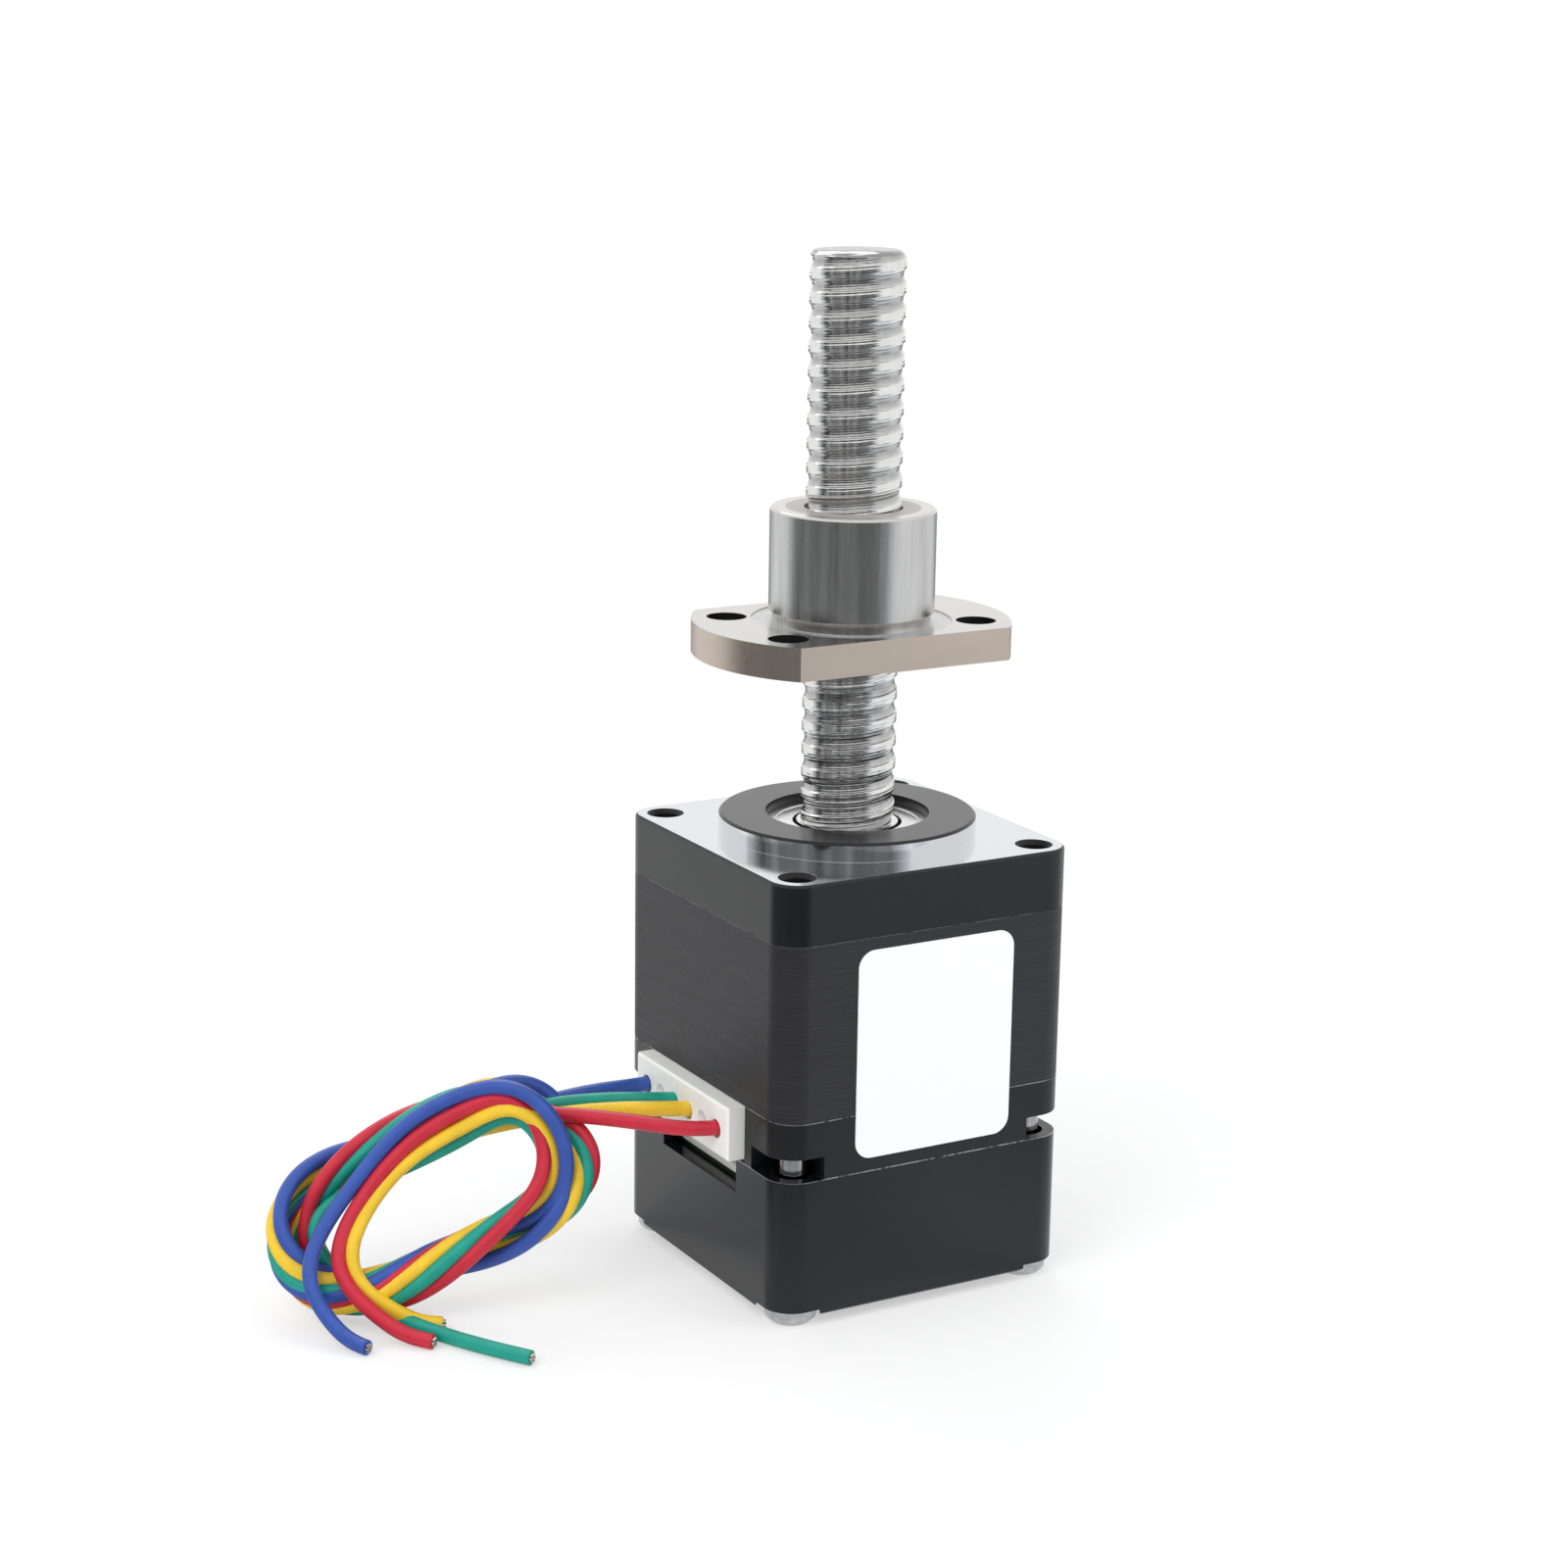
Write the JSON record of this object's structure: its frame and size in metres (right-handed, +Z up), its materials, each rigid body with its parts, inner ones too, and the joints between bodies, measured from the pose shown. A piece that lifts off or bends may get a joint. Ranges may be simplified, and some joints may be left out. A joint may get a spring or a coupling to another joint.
{
  "type": "ball screw stepper motor",
  "caption": "Square-framed stepper motor whose shaft is a rolled ball screw carrying a flanged ball nut, with a rear encoder cover and colour-coded leads.",
  "frame": {"origin": "on the screw's axis, in the machined front face that bolts to a machine", "axes": "+Z runs up the screw away from the motor; +X points away from the lead connector; the blank label is on the -Y face"},
  "size_m": [0.065, 0.0283, 0.0873],
  "materials": {
    "black_coat": "satin black coating",
    "machined_cap": "black coated sides, bright machined face and pilot",
    "lamination": "stacked laminations, dark oxide with fine lines",
    "magnet": "dull sintered magnet",
    "bearing_steel": "polished bearing steel",
    "screw_steel": "polished ground steel",
    "sheet_steel": "pressed sheet steel",
    "nickel_nut": "satin nickel plate",
    "plated_screw": "bright zinc plate",
    "wiper_resin": "plain resin",
    "copper_winding": "enamelled copper wire",
    "contact_metal": "tinned contact",
    "white_housing": "white moulding",
    "board_laminate": "circuit board",
    "black_moulding": "black moulding",
    "hub_metal": "turned aluminium",
    "label_film": "blank white film",
    "lead_red": "red insulation",
    "lead_yellow": "yellow insulation",
    "lead_green": "green insulation",
    "lead_blue": "blue insulation",
    "lead_bundle": "four coloured leads twisted together"
  },
  "bodies": {
    "housing": {"rear_cap": "black_coat", "encoder_cover": "black_coat", "front_cap": "machined_cap", "stator_core": "lamination", "front_bearing_outer_ring": "bearing_steel", "rear_bearing_outer_ring": "bearing_steel", "front_bearing_shields": "sheet_steel", "rear_bearing_shields": "sheet_steel", "wave_spring": "sheet_steel", "tie_screws": "plated_screw", "board_screws": "plated_screw", "front_insulator": "wiper_resin", "rear_insulator": "wiper_resin", "stator_coils": "copper_winding", "connector_contacts": "contact_metal", "connector_header": "white_housing", "connector_plug": "white_housing", "encoder_socket": "white_housing", "encoder_board": "board_laminate", "encoder_reader": "black_moulding", "board_posts": "hub_metal", "blank_label": "label_film", "lead_run_red": "lead_red", "lead_tail_red": "lead_red", "lead_run_yellow": "lead_yellow", "lead_tail_yellow": "lead_yellow", "lead_run_green": "lead_green", "lead_tail_green": "lead_green", "lead_run_blue": "lead_blue", "lead_tail_blue": "lead_blue", "lead_coil": "lead_bundle"},
    "rotor": {"ball_screw": "screw_steel", "rotor_core_front": "lamination", "rotor_core_rear": "lamination", "rotor_magnet": "magnet", "front_bearing_inner_ring": "bearing_steel", "rear_bearing_inner_ring": "bearing_steel", "encoder_hub": "hub_metal", "encoder_disc": "black_moulding"},
    "front_cage": {"front_bearing_cage": "sheet_steel", "front_bearing_balls": "bearing_steel"},
    "rear_cage": {"rear_bearing_cage": "sheet_steel", "rear_bearing_balls": "bearing_steel"},
    "nut": {"ball_nut": "nickel_nut", "nut_balls": "bearing_steel", "ball_deflectors": "nickel_nut", "nut_wiper_upper": "wiper_resin", "nut_wiper_lower": "wiper_resin"}
  },
  "joints": [
    {"name": "screw_spin", "type": "hinge", "parent": "housing", "child": "rotor", "pos_m": [0, 0, 0], "axis": [0, 0, 1], "range_deg": [-3600, 2160]},
    {"name": "nut_travel", "type": "slide", "parent": "housing", "child": "nut", "axis": [0, 0, 1], "range_m": [-0.012, 0.02]},
    {"name": "front_cage_spin", "type": "hinge", "parent": "housing", "child": "front_cage", "pos_m": [0, 0, -0.0017], "axis": [0, 0, 1], "range_deg": [-1401, 841]},
    {"name": "rear_cage_spin", "type": "hinge", "parent": "housing", "child": "rear_cage", "pos_m": [0, 0, -0.0223], "axis": [0, 0, 1], "range_deg": [-1385, 831]}
  ],
  "couplings": [
    {"joint": "nut_travel", "follows": "screw_spin", "m_per_rad": -0.0003183},
    {"joint": "front_cage_spin", "follows": "screw_spin", "ratio": 0.389},
    {"joint": "rear_cage_spin", "follows": "screw_spin", "ratio": 0.3845}
  ]
}
